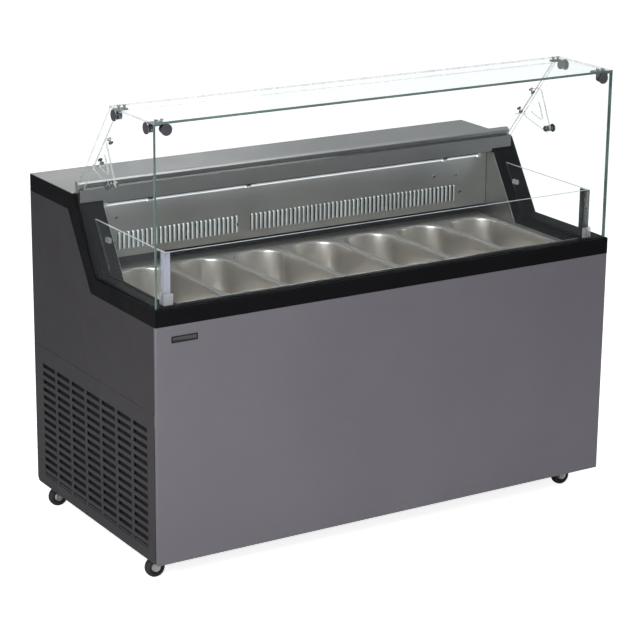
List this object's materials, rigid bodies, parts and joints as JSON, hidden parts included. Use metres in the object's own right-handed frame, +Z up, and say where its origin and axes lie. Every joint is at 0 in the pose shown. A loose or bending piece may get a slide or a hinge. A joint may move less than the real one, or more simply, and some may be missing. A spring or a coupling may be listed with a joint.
{
  "type": "ice cream dipping cabinet",
  "caption": "Chest-height refrigerated counter with lift-out steel pans in a cooled well, a square glass case, low inner shield, tilting clear rear flap and rear worktop, on swivel casters.",
  "frame": {"origin": "floor level under the middle of the plan", "axes": "+X towards the right end seen from the customer's side, +Y towards the rear worktop, +Z up"},
  "size_m": [1.33, 0.67, 1.141],
  "materials": {
    "galvanised_steel": "galvanised sheet, dull spangle",
    "front_skin": "satin grey paint with a faint warm cast",
    "side_skin": "satin dark grey paint",
    "black_trim": "satin black moulding",
    "foam": "rigid insulation foam, cut face",
    "stainless": "fine brushed stainless",
    "stainless_dark": "satin stainless",
    "worktop_steel": "satin stainless",
    "lamp_tube": "opal tube",
    "fin_aluminium": "bare fin stock",
    "black_plastic": "moulded black",
    "black_sheet": "black coated sheet",
    "pane": "clear float glass with green edges",
    "clear_sheet": "clear acrylic",
    "clear_fitting": "clear acrylic",
    "hardware": "dark satin steel",
    "compressor_paint": "gloss black enamel",
    "copper": "bare copper, slightly dulled",
    "badge_plate": "gloss black, blank",
    "pan_steel": "drawn stainless, satin inside",
    "zinc_steel": "zinc plated",
    "wheel_rubber": "black tread with a light grey hub",
    "switch_green": "green rocker"
  },
  "bodies": {
    "cabinet": {"base_frame": "galvanised_steel", "frame_uprights": "galvanised_steel", "front_panel": "front_skin", "left_side_panel": "side_skin", "left_louvre_panel": "side_skin", "right_side_panel": "side_skin", "right_louvre_panel": "side_skin", "rear_panel": "side_skin", "rear_grille": "side_skin", "trim_front": "black_trim", "trim_left": "black_trim", "trim_right": "black_trim", "insulation": "foam", "well_floor": "stainless", "well_front_wall": "stainless", "well_rear_wall": "stainless", "well_end_left": "stainless", "well_end_right": "stainless", "duct_top": "stainless", "pan_rack": "stainless_dark", "air_panel": "stainless", "worktop": "worktop_steel", "fascia": "stainless", "led_light": "lamp_tube", "evaporator_coil": "fin_aluminium", "evaporator_fan_shroud": "black_plastic", "glass_left": "pane", "glass_right": "pane", "glass_front": "pane", "glass_top": "pane", "glass_clamps": "hardware", "screws": "hardware", "shield_front": "clear_sheet", "shield_sides": "clear_sheet", "shield_fittings": "clear_fitting", "pivot_bolts": "hardware", "compressor": "compressor_paint", "condenser_coil": "fin_aluminium", "condenser_shroud": "black_sheet", "refrigerant_lines": "copper", "control_box": "black_plastic", "mains_inlet": "black_plastic", "badge": "badge_plate"},
    "flap": {"rear_flap": "clear_sheet", "flap_brackets": "clear_fitting", "flap_screws": "hardware"},
    "pan_body_1": {"pan_1": "pan_steel"},
    "pan_body_2": {"pan_2": "pan_steel"},
    "pan_body_3": {"pan_3": "pan_steel"},
    "pan_body_4": {"pan_4": "pan_steel"},
    "pan_body_5": {"pan_5": "pan_steel"},
    "pan_body_6": {"pan_6": "pan_steel"},
    "pan_body_7": {"pan_7": "pan_steel"},
    "fork_fl": {"caster_fork_fl": "zinc_steel"},
    "wheel_fl": {"caster_wheel_fl": "wheel_rubber"},
    "fork_fr": {"caster_fork_fr": "zinc_steel"},
    "wheel_fr": {"caster_wheel_fr": "wheel_rubber"},
    "fork_rl": {"caster_fork_rl": "zinc_steel"},
    "wheel_rl": {"caster_wheel_rl": "wheel_rubber"},
    "fork_rr": {"caster_fork_rr": "zinc_steel"},
    "wheel_rr": {"caster_wheel_rr": "wheel_rubber"},
    "condenser_rotor": {"condenser_fan": "black_plastic"},
    "evaporator_rotor_left": {"evaporator_fan_left": "black_plastic"},
    "evaporator_rotor_right": {"evaporator_fan_right": "black_plastic"},
    "rocker": {"power_switch": "switch_green"}
  },
  "joints": [
    {"name": "flap_hinge", "type": "hinge", "parent": "cabinet", "child": "flap", "pos_m": [0, -0.088, 0.943], "axis": [1, 0, 0], "range_deg": [0, 80]},
    {"name": "pan_1_lift", "type": "slide", "parent": "cabinet", "child": "pan_body_1", "axis": [0, 0, 1], "range_m": [0, 0.15]},
    {"name": "pan_2_lift", "type": "slide", "parent": "cabinet", "child": "pan_body_2", "axis": [0, 0, 1], "range_m": [0, 0.15]},
    {"name": "pan_3_lift", "type": "slide", "parent": "cabinet", "child": "pan_body_3", "axis": [0, 0, 1], "range_m": [0, 0.15]},
    {"name": "pan_4_lift", "type": "slide", "parent": "cabinet", "child": "pan_body_4", "axis": [0, 0, 1], "range_m": [0, 0.15]},
    {"name": "pan_5_lift", "type": "slide", "parent": "cabinet", "child": "pan_body_5", "axis": [0, 0, 1], "range_m": [0, 0.15]},
    {"name": "pan_6_lift", "type": "slide", "parent": "cabinet", "child": "pan_body_6", "axis": [0, 0, 1], "range_m": [0, 0.15]},
    {"name": "pan_7_lift", "type": "slide", "parent": "cabinet", "child": "pan_body_7", "axis": [0, 0, 1], "range_m": [0, 0.15]},
    {"name": "caster_swivel_fl", "type": "hinge", "parent": "cabinet", "child": "fork_fl", "pos_m": [-0.618, -0.254, 0.09], "axis": [0, 0, 1], "continuous": true},
    {"name": "caster_roll_fl", "type": "hinge", "parent": "fork_fl", "child": "wheel_fl", "pos_m": [-0.632, -0.254, 0.025], "axis": [0, 1, 0], "continuous": true},
    {"name": "caster_swivel_fr", "type": "hinge", "parent": "cabinet", "child": "fork_fr", "pos_m": [0.618, -0.254, 0.09], "axis": [0, 0, 1], "continuous": true},
    {"name": "caster_roll_fr", "type": "hinge", "parent": "fork_fr", "child": "wheel_fr", "pos_m": [0.604, -0.254, 0.025], "axis": [0, 1, 0], "continuous": true},
    {"name": "caster_swivel_rl", "type": "hinge", "parent": "cabinet", "child": "fork_rl", "pos_m": [-0.618, 0.286, 0.09], "axis": [0, 0, 1], "continuous": true},
    {"name": "caster_roll_rl", "type": "hinge", "parent": "fork_rl", "child": "wheel_rl", "pos_m": [-0.632, 0.286, 0.025], "axis": [0, 1, 0], "continuous": true},
    {"name": "caster_swivel_rr", "type": "hinge", "parent": "cabinet", "child": "fork_rr", "pos_m": [0.618, 0.286, 0.09], "axis": [0, 0, 1], "continuous": true},
    {"name": "caster_roll_rr", "type": "hinge", "parent": "fork_rr", "child": "wheel_rr", "pos_m": [0.604, 0.286, 0.025], "axis": [0, 1, 0], "continuous": true},
    {"name": "condenser_fan_spin", "type": "hinge", "parent": "cabinet", "child": "condenser_rotor", "pos_m": [-0.569, -0.04, 0.245], "axis": [1, 0, 0], "continuous": true},
    {"name": "evaporator_fan_left_spin", "type": "hinge", "parent": "cabinet", "child": "evaporator_rotor_left", "pos_m": [-0.28, 0.164, 0.77], "axis": [0, 1, 0], "continuous": true},
    {"name": "evaporator_fan_right_spin", "type": "hinge", "parent": "cabinet", "child": "evaporator_rotor_right", "pos_m": [0.28, 0.164, 0.77], "axis": [0, 1, 0], "continuous": true},
    {"name": "power_rocker", "type": "hinge", "parent": "cabinet", "child": "rocker", "pos_m": [0.518, 0.326, 0.372], "axis": [1, 0, 0], "range_deg": [0, 16]}
  ]
}
